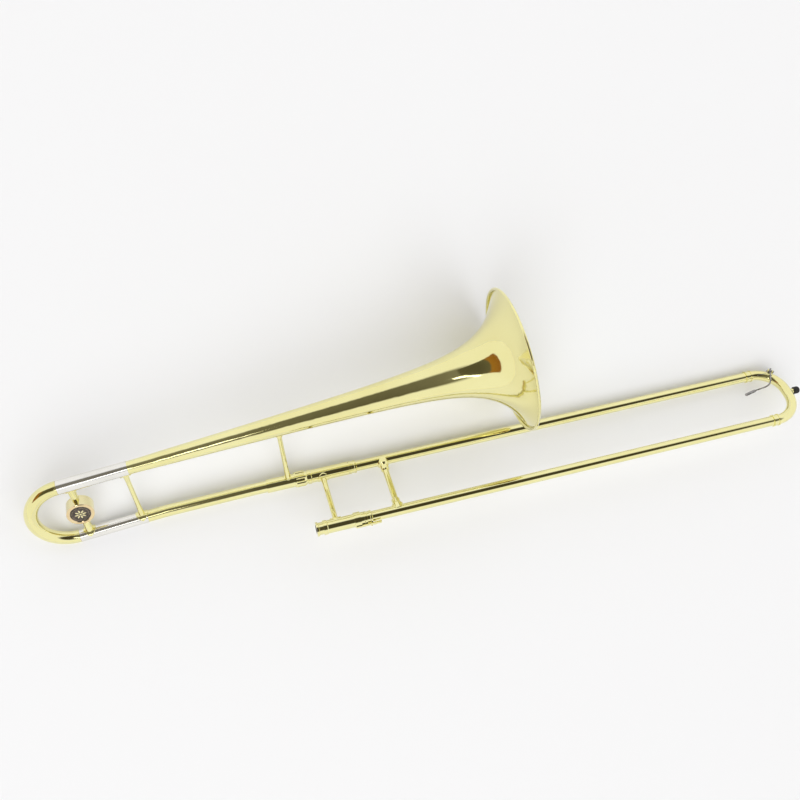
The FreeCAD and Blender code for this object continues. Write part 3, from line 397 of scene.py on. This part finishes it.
def turned_frame(node, axis):
    """Lowest point on the axis of a turned CAD node, its length and its radius."""
    first, second = square_to(axis)
    spans = []
    for direction in (axis, first, second):
        reach = [vertex.co.dot(direction) for vertex in frame["nodes"][node].data.vertices]
        spans.append((min(reach), max(reach)))
    (low, high), (left, right), (back, front) = spans
    start = axis * low + first * (left + right) / 2 + second * (back + front) / 2
    return start, high - low, (right - left) / 2


def ring_of(centre, across, up, segments):
    """Vertices of an oval round the centre, with half sizes across and up."""
    angles = [math.tau * step / segments for step in range(segments)]
    return [centre + across * math.cos(angle) + up * math.sin(angle) for angle in angles]


def bands(rings, segments):
    """Faces that join each ring of vertices to the next."""
    faces = []
    for corner in range(0, (rings - 1) * segments, segments):
        for step in range(segments):
            after = (step + 1) % segments
            other = corner + segments
            faces.append((corner + step, corner + after, other + after, other + step))
    return faces


def revolved(origin, axis, outline, segments=96):
    """Closed turned mesh; the outline holds (along the axis, radius) and ends on the axis."""
    first, second = square_to(axis)
    vertices = []
    for along, radius in outline:
        vertices += ring_of(origin + axis * along, first * radius, second * radius, segments)
    return vertices, bands(len(outline), segments)


def smooth_path(points, per_span):
    """Catmull-Rom curve through the (point, half width, half thickness) entries."""
    path = []
    ends = [points[0]] + points + [points[-1]]
    for span in zip(ends, ends[1:], ends[2:], ends[3:]):
        for step in range(per_span):
            t = step / per_span
            weights = (-t ** 3 + 2 * t ** 2 - t, 3 * t ** 3 - 5 * t ** 2 + 2,
                       -3 * t ** 3 + 4 * t ** 2 + t, t ** 3 - t ** 2)
            place = sum((entry[0] * w for entry, w in zip(span, weights)), Vector()) * 0.5
            width, thickness = (sum(entry[k] * w for entry, w in zip(span, weights)) * 0.5
                                for k in (1, 2))
            path.append((place, width, thickness))
    return path + [points[-1]]


def lofted(path, flat, segments=20):
    """Bar with an oval section along the path; its thickness is measured along flat."""
    vertices = []
    last = len(path) - 1
    for i, (point, width, thickness) in enumerate(path):
        direction = (path[min(i + 1, last)][0] - path[max(i - 1, 0)][0]).normalized()
        across = direction.cross(flat).normalized()
        up = across.cross(direction)
        vertices += ring_of(point, across * width, up * thickness, segments)
    caps = [tuple(range(segments)), tuple(range(last * segments, (last + 1) * segments))]
    return vertices, bands(len(path), segments) + caps


def dome(centre, along, aside, up, rings=12, segments=16):
    """Closed oval button with half sizes along, aside and up."""
    vertices = []
    for ring in range(rings + 1):
        tilt = math.pi * ring / rings
        reach = math.sin(tilt)
        vertices += ring_of(centre + up * math.cos(tilt), along * reach, aside * reach, segments)
    return vertices, bands(rings + 1, segments)


def joined(*meshes):
    vertices, faces = [], []
    for part_vertices, part_faces in meshes:
        faces += [tuple(index + len(vertices) for index in face) for face in part_faces]
        vertices += part_vertices
    return vertices, faces


# ---- Detailed pieces ----
def make_bumper():
    """Ribbed rubber tip with a rounded end."""
    start, length, radius = turned_frame("rubber_bumper", SLIDE_AXIS)
    valley = 1 - BUMPER_RIB_DEPTH
    outline = [(0, 0), (0, BUMPER_BASE_RADIUS), BUMPER_CHAMFER]
    for step in range(BUMPER_RIB_STEPS + 1):
        part = step / BUMPER_RIB_STEPS
        rib = valley + BUMPER_RIB_DEPTH * abs(math.sin(math.pi * BUMPER_RIBS * part)) ** 0.5
        outline.append((BUMPER_RIBS_START + (BUMPER_RIBS_END - BUMPER_RIBS_START) * part, rib))
    for step in range(1, BUMPER_TIP_STEPS + 1):
        angle = math.pi / 2 * step / BUMPER_TIP_STEPS
        outline.append((BUMPER_RIBS_END + (1 - BUMPER_RIBS_END) * math.sin(angle),
                        BUMPER_TIP_FLAT + (valley - BUMPER_TIP_FLAT) * math.cos(angle)))
    outline.append((1, 0))
    outline = [(length * along, radius * reach) for along, reach in outline]
    add_piece("ribbed_bumper", *revolved(start, SLIDE_AXIS, outline), "outer_slide",
              "black_rubber", ["rubber_bumper"])


def make_medallion():
    """Dark domed disc with two raised rings, and a plain rosette and beads on it."""
    start, height, radius = turned_frame("counterweight_medallion", WEIGHT_AXIS)
    outline = [(0, 0), (0, radius)]
    for step in range(MEDALLION_STEPS + 1):
        part = 1 - step / MEDALLION_STEPS
        ring = sum(rise * math.exp(-((part - reach) / width) ** 2)
                   for reach, width, rise in MEDALLION_RINGS)
        level = MEDALLION_EDGE + MEDALLION_CROWN * (1 - part ** 2) + MEDALLION_RING_RISE * ring
        outline.append((height * level, radius * part))
    add_piece("medallion_disc", *revolved(start, WEIGHT_AXIS, outline), "bell_section",
              "medallion", ["counterweight_medallion"])
    first, second = square_to(WEIGHT_AXIS)
    buttons = []
    for count, reach, length, width, rise in (PETALS, ROSETTE_CENTRE, BEADS):
        base = MEDALLION_EDGE - ROSETTE_SINK + MEDALLION_CROWN * (1 - reach ** 2)
        for k in range(count):
            angle = math.tau * k / count
            outward = first * math.cos(angle) + second * math.sin(angle)
            aside = WEIGHT_AXIS.cross(outward)
            centre = start + WEIGHT_AXIS * height * base + outward * radius * reach
            buttons.append(dome(centre, outward * radius * length, aside * radius * width,
                                WEIGHT_AXIS * height * rise))
    add_piece("medallion_rosette", *joined(*buttons), "bell_section", "weight_brass")


def make_water_key():
    """Steel lever bent over the tube, with an oblong touch, a turned hub and a cup for the cork."""
    up = KEY_OUT * math.sin(KEY_SADDLE_ANGLE) + SLIDE_FACE * math.cos(KEY_SADDLE_ANGLE)
    tube = KEY_PIVOT - up * KEY_PIVOT_HEIGHT
    elbow, touch_end = in_slide_plane(KEY_ELBOW), in_slide_plane(KEY_TOUCH_END)
    touch_way = (touch_end - elbow).normalized()
    shoulder_reach = KEY_PIVOT_HEIGHT + KEY_SHOULDER_RISE
    shoulder = tube + (KEY_OUT + SLIDE_FACE).normalized() * shoulder_reach
    cup_top = tube + KEY_OUT * (KEY_CUP_START + KEY_CUP_GRIP)
    touch = [(touch_end + touch_way * along, *section) for along, *section in TOUCH_SECTIONS]
    bends = (elbow, KEY_PIVOT, shoulder, cup_top)
    bar = [(place, *section) for place, section in zip(bends, ARM_SECTIONS)]
    arm = lofted(smooth_path(touch + bar, ARM_STEPS), SLIDE_FACE)
    hub = revolved(KEY_PIVOT - KEY_ALONG * HUB_HALF_LENGTH, KEY_ALONG, HUB_OUTLINE)
    cup = revolved(tube + KEY_OUT * KEY_CUP_START, KEY_OUT, CUP_OUTLINE)
    add_piece("bent_key_lever", *joined(arm, hub, cup), "water_key", "steel", ["water_key_lever"])


def make_spring():
    """Wire turned once round the key's hub, with a leg that leans on the tube."""
    first, second = -KEY_OUT, KEY_ALONG.cross(-KEY_OUT)
    places = []
    for step in range(SPRING_TURN_POINTS + 1):
        part = step / SPRING_TURN_POINTS
        angle = math.tau * (part - 1)
        outward = first * math.cos(angle) + second * math.sin(angle)
        along = SPRING_START + SPRING_PITCH * part
        places.append(KEY_PIVOT + KEY_ALONG * along + outward * SPRING_RADIUS)
    places.append(in_slide_plane(SPRING_END))
    path = smooth_path([(place, SPRING_WIRE, SPRING_WIRE) for place in places], SPRING_STEPS)
    add_piece("wire_spring", *lofted(path, KEY_ALONG, SPRING_SEGMENTS), "outer_slide", "steel",
              ["water_key_spring"])


make_bumper()
make_medallion()
make_water_key()
make_spring()
dress_nodes()
make_floor()
make_room()
make_softbox()
make_soft_sun()
aim_camera()
bpy.context.scene.view_settings.view_transform = "Standard"
